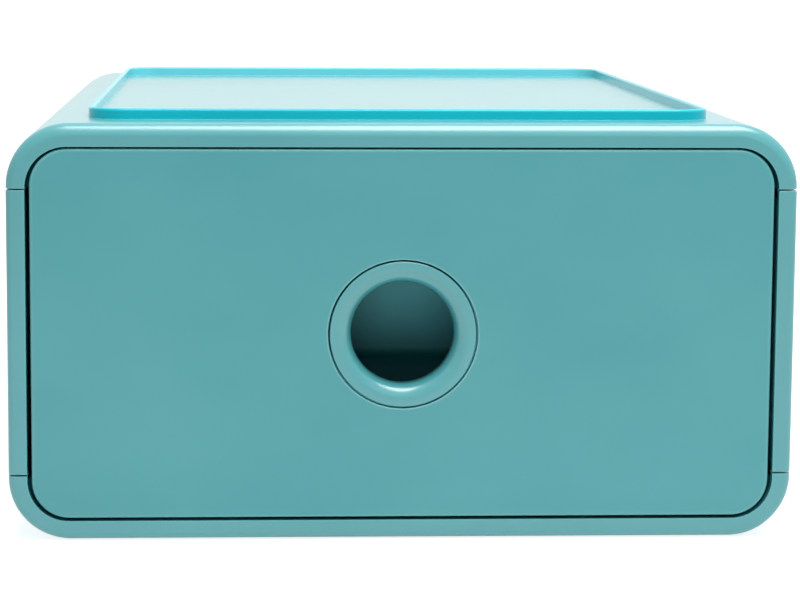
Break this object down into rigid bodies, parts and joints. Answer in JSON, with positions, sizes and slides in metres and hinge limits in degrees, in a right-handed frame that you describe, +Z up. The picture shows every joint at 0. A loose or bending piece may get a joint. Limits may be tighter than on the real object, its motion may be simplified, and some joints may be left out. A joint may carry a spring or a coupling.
{
  "type": "stackable drawer box",
  "caption": "Stackable plastic drawer box with a rounded casing, a sliding drawer pulled by a round finger ring, and a low stacking rim that frames a tray on top.",
  "frame": {"origin": "centre of the box's footprint, at the underside of the foot pads", "axes": "+Z up, -Y out of the drawer's front, +X to the right as seen from the front"},
  "size_m": [0.26, 0.32, 0.142],
  "materials": {
    "top_shell": "semi-gloss moulded",
    "bottom_shell": "semi-gloss moulded",
    "side_panel": "semi-gloss moulded",
    "back_panel": "fine satin moulded",
    "drawer_tub": "satin moulded",
    "drawer_front": "satin moulded",
    "finger_ring": "semi-gloss moulded",
    "foot_pad": "matte elastomer"
  },
  "bodies": {
    "casing": {"top_shell": "top_shell", "bottom_shell": "bottom_shell", "side_panel_left": "side_panel", "side_panel_right": "side_panel", "back_panel": "back_panel", "foot_pad_front_left": "foot_pad", "foot_pad_front_right": "foot_pad", "foot_pad_back_left": "foot_pad", "foot_pad_back_right": "foot_pad"},
    "drawer": {"drawer_tub": "drawer_tub", "drawer_front": "drawer_front", "finger_ring": "finger_ring"}
  },
  "joints": [
    {"name": "drawer_slide", "type": "slide", "parent": "casing", "child": "drawer", "axis": [0, -1, 0], "range_m": [0, 0.23]}
  ]
}
